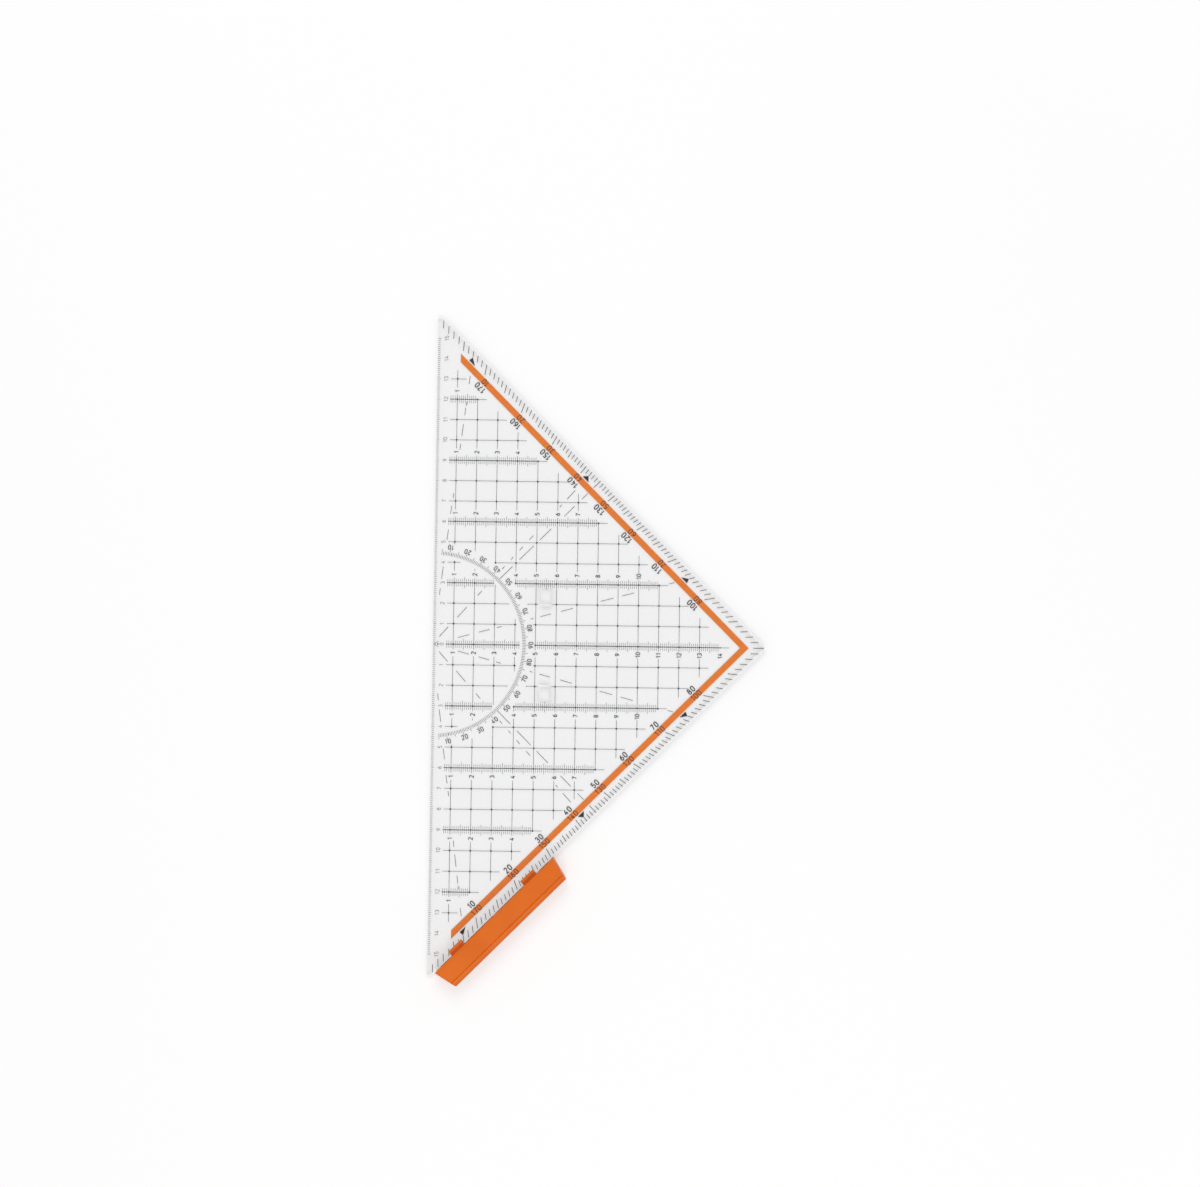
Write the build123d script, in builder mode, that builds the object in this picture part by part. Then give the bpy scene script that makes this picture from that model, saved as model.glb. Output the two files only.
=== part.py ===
"""Large clear 45 degree set square with printed scales, orange leg bands and a plug-in handle.

Millimetres. The hypotenuse lies along Y with its zero mark at the origin, the apex points along +X,
and Z is up from the drawing surface that the nubs stand on. The handle lies on its side beside the
lower leg, pulled out of its two slots.
"""

import os
from math import cos, floor, radians, sin, sqrt

from build123d import *

os.makedirs("parts", exist_ok=True)

# Clear plate
HYPOTENUSE_LENGTH = 320.0
CORNER_FLAT = 2.0  # blunt end of each sharp corner, measured across the hypotenuse
PLATE_THICKNESS = 2.3
CORNER_ROUND = 0.5

# Drawing edges: a facet along the hypotenuse and a stepped inking edge along each leg
FACET_WIDTH = 8.5
FACET_EDGE = 0.9  # thickness left at the hypotenuse
INK_STEP_WIDTH = 0.3
INK_STEP_DEPTH = 0.6

# Nubs that keep the plate off wet ink
NUB_HEIGHT = 0.6
NUB_TIP_RADIUS = 0.7
NUB_ROOT_RADIUS = 2.0
NUB_EDGE_INSET = 7.6  # from the hypotenuse
NUB_EDGE_Y = 75.0
NUB_CORNER_INSET = 18.0  # from the sharp corner, along the hypotenuse
NUB_APEX_INSET = 15.4  # from the apex
NUB_SLOT_Y = 37.0

# Slots for the handle, with a relief under one long side for the snap ridges
SLOT_X = 54.6
SLOT_SPACING = 48.2
SLOT_WIDTH = 4.3
SLOT_LENGTH = 9.0
RELIEF_WIDTH = 1.0
RELIEF_DEPTH = 1.1

# Handle
HANDLE_BASE_LENGTH = 78.8
HANDLE_GRIP_LENGTH = 73.3
HANDLE_HEIGHT = 11.7
BASE_CHAMFER_HEIGHT = 1.5
BASE_CHAMFER_DEPTH = 0.3
GRIP_BEAD_HEIGHT = 2.4
GRIP_TOP_THICKNESS = 6.8
CREASE_WIDTH = 0.7
CREASE_DEPTH = 0.35
HANDLE_WALL = 1.8
CORE_DEPTH = 7.0
TAB_LEAD_IN = 0.4
SNAP_REACH = 0.45
SNAP_LAND = 0.45

# Fits between handle and plate
TAB_SIDE_CLEARANCE = 0.15
TAB_END_CLEARANCE = 0.4
TAB_PAPER_CLEARANCE = 0.15  # tab tip to the drawing surface when plugged in
SNAP_CLEARANCE = 0.15  # snap ridge to the ledge that it catches
PARKED_CLEARANCE = 0.3  # tabs above the plate when the handle lies beside it

# Where the handle lies: gap to the leg, and its end's distance from the sharp corner
PARKED_LEG_GAP = 0.4
PARKED_CORNER_GAP = 6.1

# Orange bands, distances square to the leg
BAND_FILM = 0.10
BAND_INSET = 5.7
BAND_WIDTH = 3.0
BAND_HYPOTENUSE_GAP = 11.4

# Black print: films under the plate
INK_FILM = 0.05
FINE_LINE = 0.18
GRID_LINE = 0.20

# Centimetre grid
GRID_PITCH = 10.0
GRID_START = 6.8  # first point of each row, from the hypotenuse
GRID_LEG_MARGIN = 12.45  # row and column ends, square to the leg
SCALE_ROW_STEP = 3  # every third row carries a scale with numbers
NUMBER_OFFSET = 4.1  # from a scale row to the middle of its numbers
NUMBER_WINDOW = 3.4  # square left free for a number
SLOT_PRINT_MARGIN = 1.3

# Hypotenuse scale, main divisions
SCALE_END_GAP = 10.0  # last division to the end of the hypotenuse
SCALE_DIVISION = 5.0
SCALE_EDGE_GAP = 0.15
SCALE_TICK = 1.30
SCALE_LONG_TICK = 1.55

# Protractor, main divisions: radius where the ticks start, and their lengths
PROTRACTOR_INNER = 43.7
PROTRACTOR_TICK = 2.8
PROTRACTOR_LONG_TICK = 3.5
PROTRACTOR_GRID_GAP = 1.7  # the grid stops this far inside the ticks
PROTRACTOR_NUMBER_ROOM = 2.6  # and starts again this far outside the long ticks

# Degree divisions, in whole degrees from the hypotenuse
TICK_ANGLE = 5
LONG_TICK_ANGLE = 10

# Degree ticks along the legs, distances square to the leg
LEG_TICK_GAP = 0.1  # from the inking step
LEG_TICK = 3.9
LEG_LONG_TICK = 4.7
LEG_TICK_LINE = 0.3

# Pointers at the lettering and drafting angles
POINTER_ANGLES = (7, 42, 75)
POINTER_TIP = 2.9
POINTER_BACK = 5.1
POINTER_WIDTH = 4.1

# Values that follow from the above
HALF_HYPOTENUSE = HYPOTENUSE_LENGTH / 2
APEX_HEIGHT = HALF_HYPOTENUSE + CORNER_FLAT
UNDERSIDE = NUB_HEIGHT
PLATE_TOP = NUB_HEIGHT + PLATE_THICKNESS
TAB_LENGTH = SLOT_LENGTH - 2 * TAB_END_CLEARANCE
TAB_THICKNESS = SLOT_WIDTH - 2 * TAB_SIDE_CLEARANCE
TAB_DEPTH = PLATE_TOP - TAB_PAPER_CLEARANCE
HANDLE_THICKNESS = TAB_THICKNESS + 2 * (PLATE_TOP + PARKED_CLEARANCE)

print_plane = Plane.XY.offset(UNDERSIDE)
slot_centres = [(SLOT_X, -SLOT_SPACING / 2), (SLOT_X, SLOT_SPACING / 2)]


def leg_line(inset):
    """x + |y| on a line that runs beside both legs, inset square to them."""
    return APEX_HEIGHT - inset * sqrt(2)


def ray_point(angle, inset):
    """Point on the upper half where a ray from the zero mark meets the line inset from the leg."""
    radius = leg_line(inset) / (sin(radians(angle)) + cos(radians(angle)))
    return radius * sin(radians(angle)), radius * cos(radians(angle))


def rays(angles):
    """Places turned to run from the zero mark at angles from the hypotenuse."""
    return [Location((0, 0, 0), (0, 0, 90 - angle)) for angle in angles]


def leg_strip(inset, end, start=0):
    """Corners of a strip beside the upper leg, between two insets, from x = start to the apex."""
    outer, inner = leg_line(inset), leg_line(end)
    return [(start, outer - start), (outer, 0), (inner, 0), (start, inner - start)]


# Clear plate: outline, facet, inking steps, slots and nubs
outline = [
    (0, -HALF_HYPOTENUSE),
    (CORNER_FLAT, -HALF_HYPOTENUSE),
    (APEX_HEIGHT, 0),
    (CORNER_FLAT, HALF_HYPOTENUSE),
    (0, HALF_HYPOTENUSE),
]
facet_drop = PLATE_THICKNESS - FACET_EDGE
leg_middle = APEX_HEIGHT / 2
nub_places = [(APEX_HEIGHT - NUB_APEX_INSET, 0)]
for side in (-1, 1):
    nub_places.append((NUB_EDGE_INSET, side * NUB_EDGE_Y))
    nub_places.append((NUB_EDGE_INSET, side * (APEX_HEIGHT - NUB_CORNER_INSET)))
    nub_places.append((SLOT_X, side * NUB_SLOT_Y))

with BuildPart() as clear_plate:
    with BuildSketch(print_plane):
        with BuildLine():
            Polyline(*outline, close=True)
        make_face()
        fillet(vertices(), radius=CORNER_ROUND)
    extrude(amount=PLATE_THICKNESS)
    # Facet: a wedge taken off the top along the hypotenuse
    with BuildSketch(Plane.XZ.offset(-HALF_HYPOTENUSE)):
        with BuildLine():
            Polyline(
                (0, PLATE_TOP - facet_drop),
                (FACET_WIDTH, PLATE_TOP),
                (0, PLATE_TOP),
                close=True,
            )
        make_face()
    extrude(amount=HYPOTENUSE_LENGTH, mode=Mode.SUBTRACT)
    # Inking edges: a step under each leg, so that the lower corner stands back from the line
    with BuildSketch(print_plane):
        for side in (-1, 1):
            with Locations(Location((leg_middle, side * leg_middle, 0), (0, 0, -45 * side))):
                Rectangle(2 * APEX_HEIGHT, 2 * INK_STEP_WIDTH)
    extrude(amount=INK_STEP_DEPTH, mode=Mode.SUBTRACT)
    # Handle slots, with the relief that the snap ridges catch in
    with BuildSketch(print_plane):
        with Locations(*slot_centres):
            Rectangle(SLOT_WIDTH, SLOT_LENGTH)
    extrude(amount=PLATE_THICKNESS, mode=Mode.SUBTRACT)
    with BuildSketch(print_plane):
        with Locations(*slot_centres):
            with Locations((SLOT_WIDTH / 2 + RELIEF_WIDTH / 2, 0)):
                Rectangle(RELIEF_WIDTH, SLOT_LENGTH)
    extrude(amount=RELIEF_DEPTH, mode=Mode.SUBTRACT)
    # Nubs with flat tips
    with Locations(*nub_places):
        Cone(
            NUB_TIP_RADIUS,
            NUB_ROOT_RADIUS,
            NUB_HEIGHT,
            align=(Align.CENTER, Align.CENTER, Align.MIN),
        )
clear_plate.part.label = "clear_plate"
export_step(clear_plate.part, "parts/clear_plate.step")

# Handle, lying on its side beside the lower leg with its tabs towards the plate
parked_along = PARKED_CORNER_GAP + HANDLE_BASE_LENGTH / 2
parked_x = (parked_along + PARKED_LEG_GAP) / sqrt(2)
parked_y = -APEX_HEIGHT + (parked_along - PARKED_LEG_GAP) / sqrt(2)
side_plane = Plane((parked_x, parked_y, HANDLE_THICKNESS / 2), x_dir=(1, 1, 0), z_dir=(0, 0, 1))
end_plane = Plane(side_plane.origin, x_dir=side_plane.y_dir, z_dir=side_plane.x_dir)
base_plane = Plane(side_plane.origin, x_dir=side_plane.x_dir, z_dir=-side_plane.y_dir)

bead_foot = HANDLE_HEIGHT - GRIP_BEAD_HEIGHT
half_thickness = HANDLE_THICKNESS / 2
end_slant = (HANDLE_BASE_LENGTH - HANDLE_GRIP_LENGTH) / 2
tab_block = TAB_LENGTH + 2 * HANDLE_WALL
inner_core_end = SLOT_SPACING / 2 - tab_block / 2
outer_core_start = SLOT_SPACING / 2 + tab_block / 2
outer_core_end = HANDLE_BASE_LENGTH / 2 - end_slant * CORE_DEPTH / HANDLE_HEIGHT - HANDLE_WALL
core_spans = [
    (HANDLE_WALL / 2, inner_core_end),
    (outer_core_start, outer_core_end),
]
snap_start = PLATE_THICKNESS - RELIEF_DEPTH + SNAP_CLEARANCE

with BuildPart() as handle:
    # Side outline: long at the base, shorter along the grip
    with BuildSketch(side_plane):
        with BuildLine():
            Polyline(
                (-HANDLE_BASE_LENGTH / 2, 0),
                (HANDLE_BASE_LENGTH / 2, 0),
                (HANDLE_GRIP_LENGTH / 2, -HANDLE_HEIGHT),
                (-HANDLE_GRIP_LENGTH / 2, -HANDLE_HEIGHT),
                close=True,
            )
        make_face()
    extrude(amount=half_thickness, both=True)
    # End section: chamfered base, flat sides, and a rounded grip bead behind a crease
    with BuildSketch(end_plane):
        with BuildLine():
            Polyline(
                (0, 0),
                (0, half_thickness - BASE_CHAMFER_DEPTH),
                (-BASE_CHAMFER_HEIGHT, half_thickness),
                (-bead_foot + CREASE_WIDTH, half_thickness),
                (-bead_foot + CREASE_WIDTH / 2, half_thickness - CREASE_DEPTH),
                (-bead_foot, half_thickness),
            )
            TangentArc(
                (-bead_foot, half_thickness),
                (-HANDLE_HEIGHT, GRIP_TOP_THICKNESS / 2),
                tangent=(-1, 0),
            )
            Line((-HANDLE_HEIGHT, GRIP_TOP_THICKNESS / 2), (-HANDLE_HEIGHT, 0))
            mirror(about=Plane.XZ)
        make_face()
    extrude(amount=HANDLE_BASE_LENGTH / 2, both=True, mode=Mode.INTERSECT)
    # Cored out from the base between the tab roots, so that the walls stay even
    with BuildSketch(base_plane):
        for start, end in core_spans:
            for side in (-1, 1):
                with Locations((side * (start + end) / 2, 0)):
                    Rectangle(end - start, HANDLE_THICKNESS - 2 * HANDLE_WALL)
    extrude(amount=CORE_DEPTH, mode=Mode.SUBTRACT)
    # Two tabs with a lead-in at the tip and a snap ridge along one side
    for side in (-1, 1):
        with BuildSketch(end_plane.offset(side * SLOT_SPACING / 2)):
            with BuildLine():
                Polyline(
                    (0, -TAB_THICKNESS / 2),
                    (TAB_DEPTH - TAB_LEAD_IN, -TAB_THICKNESS / 2),
                    (TAB_DEPTH, -TAB_THICKNESS / 2 + TAB_LEAD_IN),
                    (TAB_DEPTH, TAB_THICKNESS / 2 - TAB_LEAD_IN),
                    (snap_start + SNAP_LAND, TAB_THICKNESS / 2 + SNAP_REACH),
                    (snap_start, TAB_THICKNESS / 2 + SNAP_REACH),
                    (snap_start, TAB_THICKNESS / 2),
                    (0, TAB_THICKNESS / 2),
                    close=True,
                )
            make_face()
        extrude(amount=TAB_LENGTH / 2, both=True)
handle.part.label = "handle"
export_step(handle.part, "parts/handle.step")

# Orange bands: films under the plate beside each leg, cut off along the hypotenuse, mitred at the apex
band_corners = leg_strip(BAND_INSET, BAND_INSET + BAND_WIDTH, BAND_HYPOTENUSE_GAP)

with BuildPart() as upper_band:
    with BuildSketch(print_plane):
        with BuildLine():
            Polyline(*band_corners, close=True)
        make_face()
    extrude(amount=-BAND_FILM)
upper_band.part.label = "upper_orange_band"
export_step(upper_band.part, "parts/upper_orange_band.step")

with BuildPart() as lower_band:
    add(upper_band.part)
    mirror(about=Plane.XZ, mode=Mode.REPLACE)
lower_band.part.label = "lower_orange_band"
export_step(lower_band.part, "parts/lower_orange_band.step")

# Centimetre grid: rows and columns inside the legs, cut away for the protractor, slots and numbers
grid_limit = leg_line(GRID_LEG_MARGIN)
column_count = floor(grid_limit / GRID_PITCH)
last_row = floor((grid_limit - GRID_START) / GRID_PITCH)
column_stub = grid_limit - column_count * GRID_PITCH
number_places = []
stub_places = []
for row in range(0, last_row + 1, SCALE_ROW_STEP):
    last_column = column_count - row
    for side in (-1, 1):
        row_y = side * row * GRID_PITCH
        stub_y = row_y + side * (column_stub + GRID_LINE) / 2
        stub_places.append((last_column * GRID_PITCH, stub_y))
        if row > 0 or side < 0:
            number_y = row_y + side * NUMBER_OFFSET
            number_places += [(n * GRID_PITCH, number_y) for n in range(1, last_column)]

with BuildPart() as centimetre_grid:
    with BuildSketch(print_plane):
        # Rows across and columns along the hypotenuse
        with Locations((grid_limit / 2, 0)):
            with GridLocations(GRID_PITCH, GRID_PITCH, 1, 2 * last_row + 1):
                Rectangle(grid_limit, GRID_LINE)
        with Locations(((column_count + 1) * GRID_PITCH / 2, 0)):
            with GridLocations(GRID_PITCH, GRID_PITCH, column_count, 1):
                Rectangle(GRID_LINE, 2 * grid_limit)
        # Kept inside the lines beside the legs
        with BuildSketch(mode=Mode.INTERSECT):
            with BuildLine():
                Polyline(
                    (GRID_START, GRID_START - grid_limit),
                    (grid_limit, 0),
                    (GRID_START, grid_limit - GRID_START),
                    close=True,
                )
            make_face()
        # The ring of the protractor and the slots stay free
        with BuildSketch(mode=Mode.SUBTRACT):
            Circle(PROTRACTOR_INNER + PROTRACTOR_LONG_TICK + PROTRACTOR_NUMBER_ROOM)
            Circle(PROTRACTOR_INNER - PROTRACTOR_GRID_GAP, mode=Mode.SUBTRACT)
        with Locations(*slot_centres):
            margin = 2 * SLOT_PRINT_MARGIN
            Rectangle(SLOT_WIDTH + margin, SLOT_LENGTH + margin, mode=Mode.SUBTRACT)
        # A column that ends on a scale row stops there, and gaps are left for the row's numbers
        with Locations(*stub_places):
            Rectangle(NUMBER_WINDOW, column_stub, mode=Mode.SUBTRACT)
        with Locations(*number_places):
            Rectangle(NUMBER_WINDOW, NUMBER_WINDOW, mode=Mode.SUBTRACT)
    extrude(amount=-INK_FILM)
centimetre_grid.part.label = "centimetre_grid"
export_step(centimetre_grid.part, "parts/centimetre_grid.step")

# Hypotenuse scale: ticks from the edge, longer at each centimetre
scale_half = HALF_HYPOTENUSE - SCALE_END_GAP
with BuildPart() as hypotenuse_scale:
    with BuildSketch(print_plane):
        with Locations((SCALE_EDGE_GAP, 0)):
            for division, length in ((SCALE_DIVISION, SCALE_TICK), (GRID_PITCH, SCALE_LONG_TICK)):
                with GridLocations(division, division, 1, 2 * floor(scale_half / division) + 1):
                    Rectangle(length, FINE_LINE, align=(Align.MIN, Align.CENTER))
    extrude(amount=-INK_FILM)
hypotenuse_scale.part.label = "hypotenuse_scale"
export_step(hypotenuse_scale.part, "parts/hypotenuse_scale.step")

# Protractor: a ring of ticks on rays from the zero mark, longer at each ten degrees
with BuildPart() as protractor:
    with BuildSketch(print_plane):
        for step, length in (
            (TICK_ANGLE, PROTRACTOR_TICK),
            (LONG_TICK_ANGLE, PROTRACTOR_LONG_TICK),
        ):
            with Locations(*rays(range(step, 180, step))):
                with Locations((PROTRACTOR_INNER, 0)):
                    Rectangle(length, FINE_LINE, align=(Align.MIN, Align.CENTER))
    extrude(amount=-INK_FILM)
protractor.part.label = "protractor"
export_step(protractor.part, "parts/protractor.step")

# Degree ticks along the upper leg: rays from the zero mark, trimmed to a strip beside the edge
ray_start = leg_line(2 * LEG_LONG_TICK) / sqrt(2)
with BuildPart() as upper_degrees:
    for step, inset in ((TICK_ANGLE, LEG_TICK), (LONG_TICK_ANGLE, LEG_LONG_TICK)):
        angles = [angle for angle in range(step, 90, step) if angle not in POINTER_ANGLES]
        with BuildSketch(print_plane):
            with Locations(*rays(angles)):
                with Locations((ray_start, 0)):
                    Rectangle(APEX_HEIGHT - ray_start, LEG_TICK_LINE, align=(Align.MIN, Align.CENTER))
            with BuildSketch(mode=Mode.INTERSECT):
                with BuildLine():
                    Polyline(*leg_strip(INK_STEP_WIDTH + LEG_TICK_GAP, inset), close=True)
                make_face()
        extrude(amount=-INK_FILM)
upper_degrees.part.label = "upper_leg_degrees"
export_step(upper_degrees.part, "parts/upper_leg_degrees.step")

with BuildPart() as lower_degrees:
    add(upper_degrees.part)
    mirror(about=Plane.XZ, mode=Mode.REPLACE)
lower_degrees.part.label = "lower_leg_degrees"
export_step(lower_degrees.part, "parts/lower_leg_degrees.step")

# Pointers: small solid triangles that stand on the bands and point out along the special angles
with BuildPart() as angle_pointers:
    with BuildSketch(print_plane):
        for angle in POINTER_ANGLES:
            x_tip, y_tip = ray_point(angle, POINTER_TIP)
            x_back, y_back = ray_point(angle, POINTER_BACK)
            across = POINTER_WIDTH / 2 / sqrt(2)
            with BuildLine():
                Polyline(
                    (x_tip, y_tip),
                    (x_back + across, y_back - across),
                    (x_back - across, y_back + across),
                    close=True,
                )
            make_face()
        mirror(about=Plane.XZ)
    extrude(amount=-INK_FILM)
angle_pointers.part.label = "angle_pointers"
export_step(angle_pointers.part, "parts/angle_pointers.step")
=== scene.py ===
# %% [markdown]
# # A clear set square and its handle
# The object is a large 45 degree set square: a clear plate with black print and two orange bands
# under it, and an orange handle that has been pulled out of its two slots and lies beside the lower
# leg. The solids come from CAD and stay as they are. This lesson gives them their finishes, and
# adds what a printer adds to the plate: the fine ticks, dots, guide lines and numbers.

from math import atan2, cos, degrees, hypot, pi, radians, sin, sqrt

import bpy
from mathutils import Matrix, Vector


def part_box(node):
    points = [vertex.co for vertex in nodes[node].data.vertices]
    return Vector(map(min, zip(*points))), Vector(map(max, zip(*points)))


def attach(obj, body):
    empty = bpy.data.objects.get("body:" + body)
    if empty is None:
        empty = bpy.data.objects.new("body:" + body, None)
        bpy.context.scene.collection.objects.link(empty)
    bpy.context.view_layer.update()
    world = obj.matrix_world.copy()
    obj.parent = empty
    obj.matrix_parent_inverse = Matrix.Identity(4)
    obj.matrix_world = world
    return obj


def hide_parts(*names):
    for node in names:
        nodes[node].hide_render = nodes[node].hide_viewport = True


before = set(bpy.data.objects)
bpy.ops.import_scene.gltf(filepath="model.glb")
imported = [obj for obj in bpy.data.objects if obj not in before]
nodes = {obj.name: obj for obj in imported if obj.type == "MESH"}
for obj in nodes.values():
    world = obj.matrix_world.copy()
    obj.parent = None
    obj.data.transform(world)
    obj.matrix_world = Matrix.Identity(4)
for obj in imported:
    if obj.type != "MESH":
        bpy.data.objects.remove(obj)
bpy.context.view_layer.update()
MM = 0.001


def new_object(name, data):
    """An object in the scene, made from its data."""
    thing = bpy.data.objects.new(name, data)
    bpy.context.scene.collection.objects.link(thing)
    return thing


print("nodes:", ", ".join(sorted(nodes)))

# %% [markdown]
# ## The camera
# The set square was photographed from almost straight above. A camera could be aimed by eye, but
# the printed centimetre grid allows better: its crossings are known points, so the lens, the
# distance and the tilt follow from where they fall in the picture. The camera looks 87 degrees down
# and is rolled by less than one degree. Its three axes are written as the columns of a matrix,
# which places it in one step and needs no shift.

# %% Camera
CAMERA_TARGET = Vector((0.08118, 0.02576, 0.0))
CAMERA_DISTANCE = 1.0
CAMERA_TILT = radians(87.237)
CAMERA_ROLL = radians(0.784)
LENS = 61.44
SENSOR_WIDTH = 36

back = Vector((0, -cos(CAMERA_TILT), sin(CAMERA_TILT)))
level_right = Vector((1, 0, 0))
level_up = back.cross(level_right)
right = level_right * cos(CAMERA_ROLL) + level_up * sin(CAMERA_ROLL)
up = back.cross(right)

camera = new_object("camera", bpy.data.cameras.new("camera"))
camera.data.sensor_fit = "HORIZONTAL"
camera.data.sensor_width = SENSOR_WIDTH
camera.data.lens = LENS
place = Matrix((right, up, back)).transposed().to_4x4()
place.translation = CAMERA_TARGET + back * CAMERA_DISTANCE
camera.matrix_world = place
bpy.context.scene.camera = camera
print("camera at", tuple(round(v, 3) for v in camera.location))

# %% [markdown]
# ## Floor and light
# A clear object is drawn by what is behind it, so the floor matters more than usual. It is almost
# white, so the plate shows as a faint grey shape with its print on it. The floor could simply be
# lit more, but then the object would be too bright. Instead, for the rays that show it (straight
# from the camera, in a reflection, or through the plate) a third of its paint is traded for a glow.
# Other rays see plain matte paint, so soft shadows stay and nothing extra lights the object. Far
# from the lamps the floor glows a little more, so that a low camera finds no grey horizon.
# The sky is white near the horizon, where a low camera sees it, and a light grey overhead: the
# plate mirrors that part, and a white ceiling would wash out the colours under it. Two large soft
# lamps stand beyond the plate's two sharp corners, where neither its face nor its bevel mirrors
# them into the camera.
# The first cell holds small helpers, which add nodes to a sky or a finish and join them.

# %% Helpers for nodes
SHOWING_RAYS = ("Is Camera Ray", "Is Glossy Ray", "Is Transmission Ray")


def feed(tree, socket, value):
    """Gives a socket a fixed value, or the output of another node."""
    if isinstance(value, bpy.types.NodeSocket):
        tree.links.new(value, socket)
    else:
        socket.default_value = value


def calculate(tree, operation, *terms):
    """The result of a math node. Each term is a number or the output of another node."""
    node = tree.nodes.new("ShaderNodeMath")
    node.operation = operation
    for socket, term in zip(node.inputs, terms):
        feed(tree, socket, term)
    return node.outputs["Value"]


def stepped(tree, factor, low, high, ends=(0.0, 1.0)):
    """A value that goes from low to high while a factor goes from one end to the other."""
    node = tree.nodes.new("ShaderNodeMapRange")
    names = ("Value", "From Min", "From Max", "To Min", "To Max")
    for name, value in zip(names, (factor, *ends, low, high)):
        feed(tree, node.inputs[name], value)
    return node.outputs["Result"]


def upward(tree, direction):
    """How far a direction points up, from -1 to 1."""
    node = tree.nodes.new("ShaderNodeSeparateXYZ")
    feed(tree, node.inputs["Vector"], direction)
    return node.outputs["Z"]


def ray_kind(tree, first, *others):
    """A factor that is 1 for rays of these kinds, and 0 for all others."""
    path = tree.nodes.new("ShaderNodeLightPath")
    total = path.outputs[first]
    for name in others:
        total = calculate(tree, "MAXIMUM", total, path.outputs[name])
    return total


def seen_by_eye(tree):
    """1 for the rays that show a background, and 0 for the rays that light things."""
    return ray_kind(tree, *SHOWING_RAYS)


def new_finish(name):
    """A material, its node tree and its Principled shader."""
    finish = bpy.data.materials.new(name)
    finish.use_nodes = True
    return finish, finish.node_tree, finish.node_tree.nodes["Principled BSDF"]


print("rays that show a background:", ", ".join(SHOWING_RAYS))

# %% Sky
bpy.context.scene.view_settings.view_transform = "Standard"
WHITE = (1, 1, 1, 1)
SKY_LIGHT = 0.55
SKY_HORIZON = 1.0
SKY_OVERHEAD = 0.3

world = bpy.data.worlds.new("white_studio")
bpy.context.scene.world = world
world.use_nodes = True
tree = world.node_tree
sky = tree.nodes["Background"]
sky.inputs["Color"].default_value = WHITE
heading = tree.nodes.new("ShaderNodeTexCoord").outputs["Generated"]
shown_sky = stepped(tree, upward(tree, heading), SKY_HORIZON, SKY_OVERHEAD)
feed(tree, sky.inputs["Strength"], stepped(tree, seen_by_eye(tree), SKY_LIGHT, shown_sky))
print("sky:", world.name)

# %% Floor
FLOOR_PAINT = 0.8
SEEN_PAINT = 0.55
FLOOR_GLOW = 0.46
FAR_GLOW = 0.70
LIT_REACH = (0.4, 2.8)  # metres from the zero mark: the glow grows between the two
FLOOR_HALF = 6.0
FLOOR_DROP = 0.1 * MM
FLOOR_CORNERS = ((-1, -1), (1, -1), (1, 1), (-1, 1))

floor_paint, tree, paint = new_finish("pale_floor")
paint.inputs["Roughness"].default_value = 1.0
paint.inputs["Specular IOR Level"].default_value = 0.0
paint.inputs["Emission Color"].default_value = WHITE
seen = seen_by_eye(tree)
feed(tree, paint.inputs["Base Color"], stepped(tree, seen, FLOOR_PAINT, SEEN_PAINT))
distance = tree.nodes.new("ShaderNodeVectorMath")
distance.operation = "LENGTH"
feed(tree, distance.inputs[0], tree.nodes.new("ShaderNodeTexCoord").outputs["Object"])
glow = stepped(tree, distance.outputs["Value"], FLOOR_GLOW, FAR_GLOW, LIT_REACH)
feed(tree, paint.inputs["Emission Strength"], stepped(tree, seen, 0.0, glow))

floor_points = [(x * FLOOR_HALF, y * FLOOR_HALF, -FLOOR_DROP) for x, y in FLOOR_CORNERS]
floor_mesh = bpy.data.meshes.new("floor")
floor_mesh.from_pydata(floor_points, [], [(0, 1, 2, 3)])
floor_mesh.materials.append(floor_paint)
floor = new_object("floor", floor_mesh)
print("floor is", 2 * FLOOR_HALF, "m wide")

# %% Lamps
LAMP_POWER = 9.6
LAMP_SIZE = 1.0
LAMPS = {"lamp_above": (-0.11, 1.10, 1.5), "lamp_below": (0.27, -1.04, 1.5)}

for name, spot in LAMPS.items():
    lamp = new_object(name, bpy.data.lights.new(name, "AREA"))
    lamp.data.shape = "SQUARE"
    lamp.data.size = LAMP_SIZE
    lamp.data.energy = LAMP_POWER
    lamp.location = spot
    lamp.rotation_euler = (Vector(spot) - CAMERA_TARGET).to_track_quat("Z", "Y").to_euler()
print("lamps:", ", ".join(LAMPS))

# %% [markdown]
# ## Clear styrene
# The plate is polished clear plastic. It could be faked with a see-through alpha, but then the
# bevelled edge and the slots would have no bright and dark lines. Real refraction gives those for
# nothing: a Principled shader with full transmission and styrene's index of 1.59. A plate that has
# been used is never perfectly polished, so a soft noise makes some places hazier, and a stretched
# noise lays very faint wiping marks into the surface through a bump.
# Light that goes through glass and then lands on something is hard to trace, and would leave the
# print and the floor below too dark. So lamp rays and scattered rays meet a plain see-through sheet
# instead. Its two faces take about a twelfth of their light, nearly as much as those of a real
# plate do. The sheet stops them at the cut edges: light that comes in by a broad face can't leave
# by one that is square to it, so the slots are in shade.
# The sheet also lets out rays that run to and fro between the two faces: a renderer gives those up
# after a few turns, and the cut edges would go black. It takes more of their light, because their
# way through the plastic is long.

# %% Helpers for finishes
NOISE_ENDS = (0.3, 0.7)  # noise seldom leaves these


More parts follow.
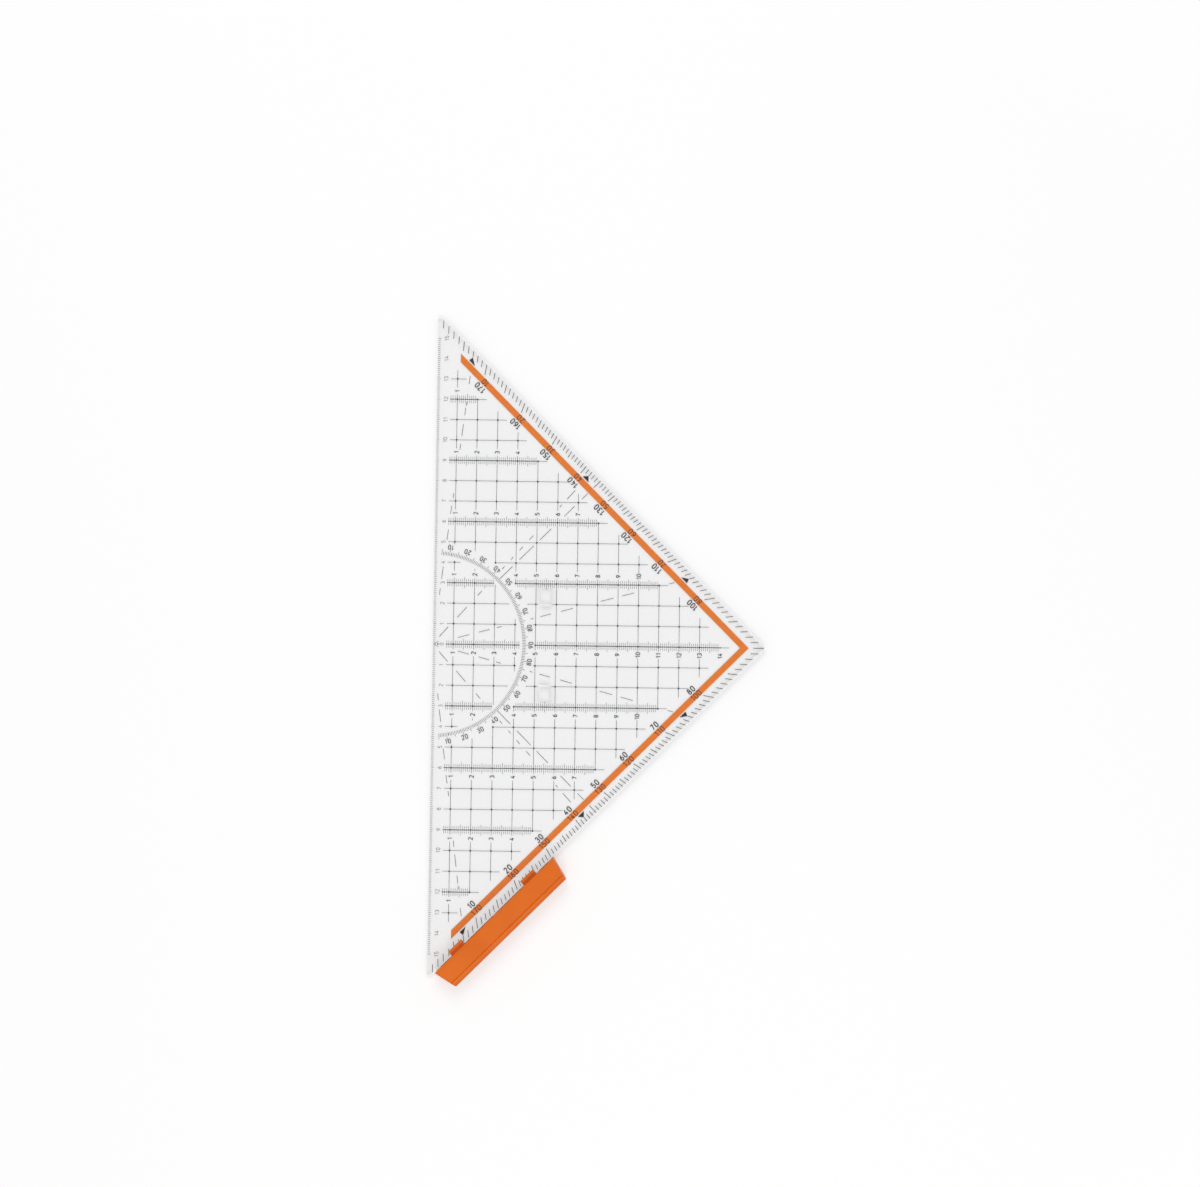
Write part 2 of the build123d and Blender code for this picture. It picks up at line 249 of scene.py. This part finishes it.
def noise(tree, scale, detail=3.0, stretch=(1, 1, 1)):
    """Noise in the object's own metres, from 0 to 1, stretched along an axis if asked."""
    mapping = tree.nodes.new("ShaderNodeMapping")
    mapping.inputs["Scale"].default_value = stretch
    feed(tree, mapping.inputs["Vector"], tree.nodes.new("ShaderNodeTexCoord").outputs["Object"])
    texture = tree.nodes.new("ShaderNodeTexNoise")
    texture.inputs["Scale"].default_value = scale
    texture.inputs["Detail"].default_value = detail
    feed(tree, texture.inputs["Vector"], mapping.outputs["Vector"])
    return texture.outputs["Fac"]


def two_tones(tree, factor, tones):
    """Noise turned into a colour between a dark and a light tone."""
    ramp = tree.nodes.new("ShaderNodeValToRGB")
    for element, end, tone in zip(ramp.color_ramp.elements, NOISE_ENDS, tones):
        element.position = end
        element.color = (*tone, 1)
    feed(tree, ramp.inputs["Fac"], factor)
    return ramp.outputs["Color"]


def spread(tree, factor, low, high):
    """Noise turned into a value between low and high."""
    return stepped(tree, factor, low, high, NOISE_ENDS)


def bump(tree, shader, factor, strength, height):
    """Raises the surface by a noise, at most by height metres."""
    relief = tree.nodes.new("ShaderNodeBump")
    relief.inputs["Strength"].default_value = strength
    relief.inputs["Distance"].default_value = height
    feed(tree, relief.inputs["Height"], factor)
    feed(tree, shader.inputs["Normal"], relief.outputs["Normal"])


def dress(node, finish):
    """Gives a CAD node its finish."""
    piece = nodes[node]
    piece.data.materials.clear()
    piece.data.materials.append(finish)


print("noise lies mostly between", *NOISE_ENDS)

# %% Polish of the plate
STYRENE_IOR = 1.59
CLEAR_TONES = ((0.988, 0.989, 0.991), (0.998, 0.998, 0.999))
CLEAR_ROUGHNESS = (0.01, 0.05)

clear_styrene, tree, shader = new_finish("clear_styrene")
shader.inputs["Transmission Weight"].default_value = 1.0
shader.inputs["IOR"].default_value = STYRENE_IOR
feed(tree, shader.inputs["Base Color"], two_tones(tree, noise(tree, scale=25), CLEAR_TONES))
feed(tree, shader.inputs["Roughness"], spread(tree, noise(tree, scale=40), *CLEAR_ROUGHNESS))
wiping = noise(tree, scale=60, detail=4.0, stretch=(1, 12, 1))
bump(tree, shader, wiping, strength=0.03, height=0.01 * MM)
dress("clear_plate", clear_styrene)
print("plate is", tuple(round(v / MM, 1) for v in nodes["clear_plate"].dimensions), "mm")

# %% Light through the plate
TURNS_INSIDE = 2.5
SHEET_TINT = 0.96
CUT_EDGE_TINT = 0.0
LONG_WAY_TINT = 0.66
CUT_EDGE_SLOPE = 0.5  # a face whose normal points up or down by less than this is a cut edge

turns = tree.nodes.new("ShaderNodeLightPath").outputs["Ray Depth"]
trapped = calculate(tree, "GREATER_THAN", turns, TURNS_INSIDE)
lighting = ray_kind(tree, "Is Shadow Ray", "Is Diffuse Ray")
passes = calculate(tree, "MAXIMUM", trapped, lighting)
long_way = calculate(tree, "SUBTRACT", trapped, lighting)
long_way.node.use_clamp = True

slope = upward(tree, tree.nodes.new("ShaderNodeNewGeometry").outputs["True Normal"])
cut_edge = calculate(tree, "LESS_THAN", calculate(tree, "ABSOLUTE", slope), CUT_EDGE_SLOPE)
short_way_tint = stepped(tree, cut_edge, SHEET_TINT, CUT_EDGE_TINT)
sheet = tree.nodes.new("ShaderNodeBsdfTransparent")
feed(tree, sheet.inputs["Color"], stepped(tree, long_way, short_way_tint, LONG_WAY_TINT))

either = tree.nodes.new("ShaderNodeMixShader")
feed(tree, either.inputs["Fac"], passes)
feed(tree, either.inputs[1], shader.outputs["BSDF"])
feed(tree, either.inputs[2], sheet.outputs["BSDF"])
feed(tree, tree.nodes["Material Output"].inputs["Surface"], either.outputs["Shader"])
print("plate finish has", len(tree.nodes), "nodes")

# %% [markdown]
# ## Orange moulding
# The handle is one moulding in satin orange plastic. Its shape is all in the CAD solid: chamfered
# base, crease, rounded grip and the two snap tabs. A flat colour would make it look like paper, so
# the colour drifts a little, as pigment does along the flow of the melt, and a fine grain breaks up
# the shine.

# %% Handle
MOULDING_TONES = ((0.73, 0.136, 0.002), (0.79, 0.156, 0.004))
MOULDING_ROUGHNESS = (0.32, 0.46)
MOULDING_SHINE = 0.3

orange_moulding, tree, shader = new_finish("orange_moulding")
flow = noise(tree, scale=60, detail=2.0, stretch=(1, 1, 4))
feed(tree, shader.inputs["Base Color"], two_tones(tree, flow, MOULDING_TONES))
feed(tree, shader.inputs["Roughness"], spread(tree, noise(tree, scale=300), *MOULDING_ROUGHNESS))
shader.inputs["Specular IOR Level"].default_value = MOULDING_SHINE
bump(tree, shader, noise(tree, scale=4000), strength=0.15, height=0.02 * MM)
dress("handle", orange_moulding)
print("handle is", tuple(round(v / MM, 1) for v in nodes["handle"].dimensions), "mm")

# %% [markdown]
# ## Black ink
# The print is thin black ink under the plate. Ink is never quite even: it is a little thinner in
# places, which shows as dark grey. The CAD films for the grid and the main divisions keep their
# shapes and only take this finish.

# %% Ink
INK_TONES = ((0.012, 0.012, 0.015), (0.035, 0.035, 0.042))
INK_ROUGHNESS = 0.6
INK_NODES = (
    "centimetre_grid",
    "hypotenuse_scale",
    "protractor",
    "upper_leg_degrees",
    "lower_leg_degrees",
    "angle_pointers",
)

black_ink, tree, shader = new_finish("black_ink")
ink_flow = noise(tree, scale=900, detail=4.0)
feed(tree, shader.inputs["Base Color"], two_tones(tree, ink_flow, INK_TONES))
shader.inputs["Roughness"].default_value = INK_ROUGHNESS
for node in INK_NODES:
    dress(node, black_ink)
print("inked:", len(INK_NODES), "CAD films")

# %% [markdown]
# ## Orange bands
# On the real plate the black is printed first and the orange over it, from below, so seen from
# above the black numbers lie on the orange. The CAD bands touch the plate, which leaves no room for
# those numbers, and two surfaces at one height make a renderer flicker between them. So each band
# gets a copy that starts a hair lower, and the copy stands for the CAD film.

# %% Bands
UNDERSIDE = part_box("centimetre_grid")[1].z
PRINT_HEIGHT = UNDERSIDE - 0.01 * MM
BAND_TOP = UNDERSIDE - 0.02 * MM
FILM_TONES = ((0.89, 0.205, 0.010), (0.95, 0.235, 0.020))
FILM_ROUGHNESS = (0.45, 0.6)
FILM_SHINE = 0.05

orange_film, tree, shader = new_finish("orange_film")
film_flow = noise(tree, scale=500, detail=4.0)
feed(tree, shader.inputs["Base Color"], two_tones(tree, film_flow, FILM_TONES))
feed(tree, shader.inputs["Roughness"], spread(tree, noise(tree, scale=300), *FILM_ROUGHNESS))
shader.inputs["Specular IOR Level"].default_value = FILM_SHINE

for node in ("upper_orange_band", "lower_orange_band"):
    film = nodes[node].data.copy()
    for vertex in film.vertices:
        vertex.co.z = min(vertex.co.z, BAND_TOP)
    film.materials.clear()
    film.materials.append(orange_film)
    band = new_object(node + "_film", film)
    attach(band, "plate")
    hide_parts(node)
    print(band.name, "top at", round(max(v.co.z for v in film.vertices) / MM, 3), "mm")

# %% [markdown]
# ## Fine divisions
# Between the main divisions stand hundreds of fine lines: millimetres along the hypotenuse and the
# scale rows, single degrees round the protractor and along the legs. Each could be an object, or a
# texture. A texture would blur in a close view, and hundreds of objects are slow, so all lines of
# one kind go into one flat mesh of thin four-sided faces, just under the plate. Their sizes are in
# millimetres, as on a drawing.

# %% Helpers for flat print


def print_piece(name, faces):
    """One flat mesh of ink from polygons in millimetres, riding on the plate."""
    points, polygons = [], []
    for face in faces:
        polygons.append(list(range(len(points), len(points) + len(face))))
        points += [(x * MM, y * MM, PRINT_HEIGHT) for x, y in face]
    mesh = bpy.data.meshes.new(name)
    mesh.from_pydata(points, [], polygons)
    mesh.materials.append(black_ink)
    piece = new_object(name, mesh)
    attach(piece, "plate")
    print(name, "has", len(polygons), "faces")


def line(x0, y0, x1, y1, width):
    """Corners of a thin line between two points."""
    length = hypot(x1 - x0, y1 - y0)
    across_x = -(y1 - y0) / length * width / 2
    across_y = (x1 - x0) / length * width / 2
    return [
        (x0 + across_x, y0 + across_y),
        (x0 - across_x, y0 - across_y),
        (x1 - across_x, y1 - across_y),
        (x1 + across_x, y1 + across_y),
    ]


def ray(angle, inner, outer, width, side):
    """A line on a ray from the zero mark, at an angle from the hypotenuse, on one half."""
    x, y = sin(radians(angle)), side * cos(radians(angle))
    return line(inner * x, inner * y, outer * x, outer * y, width)


def dot(x, y, radius, sides=10):
    """A round dot."""
    turns = [2 * pi * i / sides for i in range(sides)]
    return [(x + radius * cos(turn), y + radius * sin(turn)) for turn in turns]


print("print lies at", round(PRINT_HEIGHT / MM, 3), "mm")

# %% Millimetres along the hypotenuse and the zero mark
HAIR = 0.18
BOTH = (-1, 1)
MAIN_DIVISION = 5  # the CAD films hold every fifth millimetre and degree
SCALE_REACH = 150
EDGE_TICK = (0.3, 1.4)
CHEVRON_TIP = 0.5
CHEVRON_END = (2.95, 1.35)
ZERO_DOT = (2.65, 0.4)  # place and radius

edge_ticks = [
    line(EDGE_TICK[0], y, EDGE_TICK[1], y, HAIR)
    for y in range(-SCALE_REACH, SCALE_REACH + 1)
    if y % MAIN_DIVISION
]
print_piece("edge_millimetres", edge_ticks)
chevron = [line(CHEVRON_TIP, 0.0, CHEVRON_END[0], side * CHEVRON_END[1], HAIR) for side in BOTH]
print_piece("zero_mark", chevron + [dot(ZERO_DOT[0], 0.0, ZERO_DOT[1])])

# %% [markdown]
# ## Scale rows and grid dots
# Every third row of the grid is a rule: it has a dot at each millimetre and a hair line on either
# side, with a small gap between, longer at each five. The rows stop short of the legs, and leave
# the ring of the protractor free.
# Where two grid lines cross, the real print has a small dark dot.

# %% Scale rows
PITCH = 10
SCALE_ROWS = (0, 3, 6, 9, 12)
LAST_COLUMN = 14
RING = (42.0, 49.9)
ROW_START = 7
ROW_DOT = 0.39
ROW_DOT_SIDES = 6
ROW_GAP = 0.75
ROW_TICK = 1.75
ROW_FIVE_TICK = 2.6


def in_ring(x, y):
    """Whether a point is in the ring of the protractor."""
    return RING[0] < hypot(x, y) < RING[1]


row_ticks, row_dots = [], []
for row in SCALE_ROWS:
    for side in BOTH if row else (1,):
        y = side * row * PITCH
        for x in range(ROW_START, PITCH * (LAST_COLUMN - row) + 1):
            if in_ring(x, y):
                continue
            row_dots.append(dot(x, y, ROW_DOT, ROW_DOT_SIDES))
            if x % PITCH:
                end = ROW_TICK if x % MAIN_DIVISION else ROW_FIVE_TICK
                row_ticks += [line(x, y + way * ROW_GAP, x, y + way * end, HAIR) for way in BOTH]
print_piece("row_millimetres", row_ticks)
print_piece("row_millimetre_dots", row_dots)

# %% Grid dots
GRID_DOT = 0.46
SLOT_ALONG_X = (51.2, 58.0)
SLOT_ALONG_Y = (18.3, 29.9)


def in_slot(x, y):
    """Whether a point is in one of the two slots."""
    inside_x = SLOT_ALONG_X[0] < x < SLOT_ALONG_X[1]
    return inside_x and SLOT_ALONG_Y[0] < abs(y) < SLOT_ALONG_Y[1]


grid_dots = []
for column in range(1, LAST_COLUMN):
    last_row = LAST_COLUMN - column
    for row in range(-last_row, last_row + 1):
        x, y = column * PITCH, row * PITCH
        if not in_ring(x, y) and not in_slot(x, y):
            grid_dots.append(dot(x, y, GRID_DOT))
print_piece("grid_dots", grid_dots)

# %% [markdown]
# ## Degrees
# The protractor has a tick at each degree, so close together that they read as a grey ring, and
# each leg has its own degrees, on rays from the zero mark. The CAD films already hold the ticks at
# five and ten degrees, so only the others are added. A tick that meets a pointer ends at its tip,
# and the one at 45 degrees is longer than the rest.

# %% Degrees of the protractor
RIGHT_ANGLE = 90
RING_FIRST = 5
RING_TICK = (43.7, 45.4)
RING_LINE = 0.2

ring_ticks = [
    ray(angle, *RING_TICK, RING_LINE, side)
    for side in BOTH
    for angle in range(RING_FIRST, RIGHT_ANGLE)
    if angle % MAIN_DIVISION
]
print_piece("protractor_degrees", ring_ticks)

# %% Degrees of the legs
APEX = 162.0
LEG_LINE = 0.3
# Distances from the leg's edge
LEG_START = 0.4
SINGLE_END = 3.1
POINTER_TIP = 2.8
MIDDLE_TICK = (5.1, 3.8)  # lengthens the CAD tick at 45 degrees
APEX_END = 4.2
POINTER_ANGLES = (7, 42, 75)
MIDDLE_ANGLE = 45


def leg_radius(angle, inset):
    """Distance from the zero mark along a ray to the line that lies inset from the leg."""
    return (APEX - inset * sqrt(2)) / (sin(radians(angle)) + cos(radians(angle)))


def leg_tick(angle, inner, outer, side):
    """A tick on a ray, between two distances from the leg."""
    return ray(angle, leg_radius(angle, inner), leg_radius(angle, outer), LEG_LINE, side)


for side, name in ((1, "upper_leg_single_degrees"), (-1, "lower_leg_single_degrees")):
    leg_ticks = []
    for angle in range(1, RIGHT_ANGLE):
        if angle in POINTER_ANGLES:
            leg_ticks.append(leg_tick(angle, POINTER_TIP, LEG_START, side))
        elif angle % MAIN_DIVISION:
            leg_ticks.append(leg_tick(angle, SINGLE_END, LEG_START, side))
    leg_ticks.append(leg_tick(MIDDLE_ANGLE, *MIDDLE_TICK, side))
    print_piece(name, leg_ticks)
print_piece("apex_tick", [leg_tick(RIGHT_ANGLE, APEX_END, LEG_START, 1)])

# %% [markdown]
# ## Guide lines
# Dashed rays show the angles of technical projections: 7, 42, 45 and 75 degrees from the
# hypotenuse. The dashes are uneven because the print leaves room for numbers, rows and the
# protractor, so they are listed by where each begins and ends, and drawn on both halves.

# %% Guide lines
GUIDES = {
    7: (
        (24.3, 27.5), (32.1, 38.1), (51.2, 56.4), (64.1, 68.1), (71.9, 74.3),
        (95.9, 98.9), (102.6, 108.6), (113.0, 116.7), (117.7, 119.5), (128.5, 132.6),
    ),
    42: (
        (4.9, 11.3), (17.6, 24.5), (32.1, 35.4), (49.7, 51.5), (56.0, 57.8),
        (62.2, 64.7), (69.3, 72.2), (91.0, 92.6), (96.3, 102.2),
    ),
    45: ((45.4, 54.3), (58.9, 68.7), (72.7, 80.6), (89.4, 96.5), (101.3, 105.4)),
    75: (
        (12.7, 18.4), (23.2, 28.6), (32.2, 34.6), (49.1, 50.7), (54.1, 59.4),
        (64.5, 70.5), (84.5, 90.8), (95.1, 101.3), (118.8, 121.6),
    ),
}
GUIDE_LINE = 0.26

dashes = [
    ray(angle, start, end, GUIDE_LINE, side)
    for angle, spans in GUIDES.items()
    for start, end in spans
    for side in BOTH
]
print_piece("angle_guides", dashes)

# %% [markdown]
# ## Numbers
# The numbers are narrow drafting figures with one even stroke, as a lettering stencil draws them.
# Blender's own text would bring in thick and thin strokes of a book face. So each figure is a few
# strokes on a grid half as wide as it is high, and a helper gives every stroke its width: it walks
# along the stroke and sets a point to the left and to the right of each corner.

# %% Figures
FIGURE_WIDTH = 0.5


def arc(centre_x, centre_y, radius_x, radius_y, start, end, count=8):
    """Points on an arc, from one angle to another in degrees."""
    steps = [radians(start + (end - start) * i / count) for i in range(count + 1)]
    return [(centre_x + radius_x * cos(a), centre_y + radius_y * sin(a)) for a in steps]


BOWL = arc(0.25, 0.29, 0.25, 0.29, 150, -210, 14)
STEM = arc(0.62, 0.29, 0.62, 0.71, 110, 172, 6)
ROUND_TOP = arc(0.25, 0.70, 0.25, 0.30, 0, 180)
ROUND_FOOT = arc(0.25, 0.30, 0.25, 0.30, 180, 360)
FIGURES = {
    "0": [ROUND_TOP + ROUND_FOOT + [(0.5, 0.70)]],
    "1": [[(0.06, 0.74), (0.30, 1.0), (0.30, 0.0)]],
    "2": [arc(0.25, 0.74, 0.25, 0.26, 165, -25) + [(0.0, 0.0), (0.5, 0.0)]],
    "3": [arc(0.24, 0.76, 0.22, 0.24, 155, -90) + arc(0.24, 0.26, 0.26, 0.26, 90, -155)],
    "4": [[(0.34, 1.0), (0.0, 0.28), (0.5, 0.28)], [(0.37, 0.52), (0.37, 0.0)]],
    "5": [[(0.46, 1.0), (0.07, 1.0), (0.04, 0.56)] + arc(0.23, 0.31, 0.27, 0.31, 120, -150)],
    "6": [STEM, BOWL],
    "7": [[(0.0, 1.0), (0.5, 1.0), (0.17, 0.0)]],
    "8": [arc(0.25, 0.76, 0.20, 0.24, -90, 270, 14), arc(0.25, 0.26, 0.25, 0.26, 90, -270, 14)],
    "9": [[(FIGURE_WIDTH - x, 1 - y) for x, y in stroke] for stroke in (STEM, BOWL)],
}
print("figures:", "".join(FIGURES))

# %% Strokes and numbers
FIGURE_ADVANCE = 0.86
ADVANCE_AFTER_ONE = 0.70
NO_LENGTH = 1e-6
SHARPEST_MITRE = 0.5


def stroke_faces(points, width):
    """Four-sided faces along a stroke, with mitred corners."""
    sides = []
    for i, (x, y) in enumerate(points):
        before = points[max(i - 1, 0)]
        after = points[min(i + 1, len(points) - 1)]
        headings = []
        for (ax, ay), (bx, by) in ((before, (x, y)), ((x, y), after)):
            if hypot(bx - ax, by - ay) > NO_LENGTH:
                headings.append(atan2(by - ay, bx - ax))
        turn = (headings[-1] - headings[0] + pi) % (2 * pi) - pi
        normal = headings[0] + turn / 2 + pi / 2
        half = width / 2 / max(cos(turn / 2), SHARPEST_MITRE)
        across_x, across_y = half * cos(normal), half * sin(normal)
        sides.append(((x + across_x, y + across_y), (x - across_x, y - across_y)))
    return [[a[0], a[1], b[1], b[0]] for a, b in zip(sides, sides[1:])]


def number(value, x, y, heading, height, width):
    """Faces of a number centred on a point, read along a heading in degrees."""
    text = str(value)
    advances = [ADVANCE_AFTER_ONE if figure == "1" else FIGURE_ADVANCE for figure in text]
    start = -(sum(advances[:-1]) + FIGURE_WIDTH) / 2
    faces = []
    for figure, advance in zip(text, advances):
        for stroke in FIGURES[figure]:
            points = [((start + px) * height, (py - 0.5) * height) for px, py in stroke]
            faces += stroke_faces(points, width)
        start += advance
    c, s = cos(radians(heading)), sin(radians(heading))
    return [[(x + px * c - py * s, y + px * s + py * c) for px, py in face] for face in faces]


print("figures stand", FIGURE_ADVANCE, "of their height apart")

# %% [markdown]
# ## Where the numbers stand
# Along the hypotenuse and the rows the numbers are read with the plate turned a quarter, so their
# heading is along Y. Round the protractor they stand on the ring with their feet outward. On each
# leg there are two series: one inside the band, and one in the band itself that counts the other
# way.

# %% Numbers along the hypotenuse and the rows
ALONG_Y = 90
EDGE_NUMBER_X = 4.5
EDGE_NUMBER = {"height": 1.9, "width": 0.19}
ROW_NUMBER_DROP = 4.1
ROW_NUMBER = {"height": 2.0, "width": 0.37}

edge_numbers = []
for y in range(-SCALE_REACH, SCALE_REACH + 1, PITCH):
    edge_numbers += number(abs(y) // PITCH, EDGE_NUMBER_X, y, ALONG_Y, **EDGE_NUMBER)
print_piece("edge_numbers", edge_numbers)

row_numbers = []
for row in SCALE_ROWS:
    for side in BOTH if row else (-1,):
        y = side * (row * PITCH + ROW_NUMBER_DROP)
        # Only the middle row has a number at its very end
        for centimetre in range(1, LAST_COLUMN - row + (row == 0)):
            x = centimetre * PITCH
            if not in_ring(x, side * row * PITCH):
                row_numbers += number(centimetre, x, y, ALONG_Y, **ROW_NUMBER)
print_piece("row_numbers", row_numbers)

# %% Numbers round the protractor
HALF_TURN = 180
TEN = 10
RING_NUMBER_RADIUS = 47.9
RING_NUMBER = {"height": 2.1, "width": 0.36}

ring_numbers = []
for angle in range(TEN, HALF_TURN, TEN):
    x = RING_NUMBER_RADIUS * sin(radians(angle))
    y = RING_NUMBER_RADIUS * cos(radians(angle))
    heading = degrees(atan2(y, x)) + RIGHT_ANGLE
    ring_numbers += number(min(angle, HALF_TURN - angle), x, y, heading, **RING_NUMBER)
print_piece("protractor_numbers", ring_numbers)

# %% Numbers along the legs
NUMBER_RAY = 8.3  # a number stands square inside the point where its ray is this far from the leg
LEG_NUMBER_HEIGHT = 2.6
# Each leg's half, the heading of its numbers, and how far they are shifted to the apex
LEGS = {"upper_leg": (1, 135, 0.45), "lower_leg": (-1, 45, 0.0)}
# Each series' distance from the leg, its stroke, and the half where it counts down from 180
LEG_SERIES = {"_numbers": (10.7, 0.5, 1), "_band_numbers": (7.1, 0.4, -1)}

for leg, (side, heading, apexward) in LEGS.items():
    for series, (inset, stroke, counts_down) in LEG_SERIES.items():
        leg_numbers = []
        inward, onward = (inset - NUMBER_RAY) / sqrt(2), apexward / sqrt(2)
        for angle in range(TEN, RIGHT_ANGLE, TEN):
            radius = leg_radius(angle, NUMBER_RAY)
            x = radius * sin(radians(angle)) - inward + onward
            y = side * (radius * cos(radians(angle)) - inward - onward)
            value = HALF_TURN - angle if side == counts_down else angle
            leg_numbers += number(value, x, y, heading, LEG_NUMBER_HEIGHT, stroke)
        print_piece(leg + series, leg_numbers)
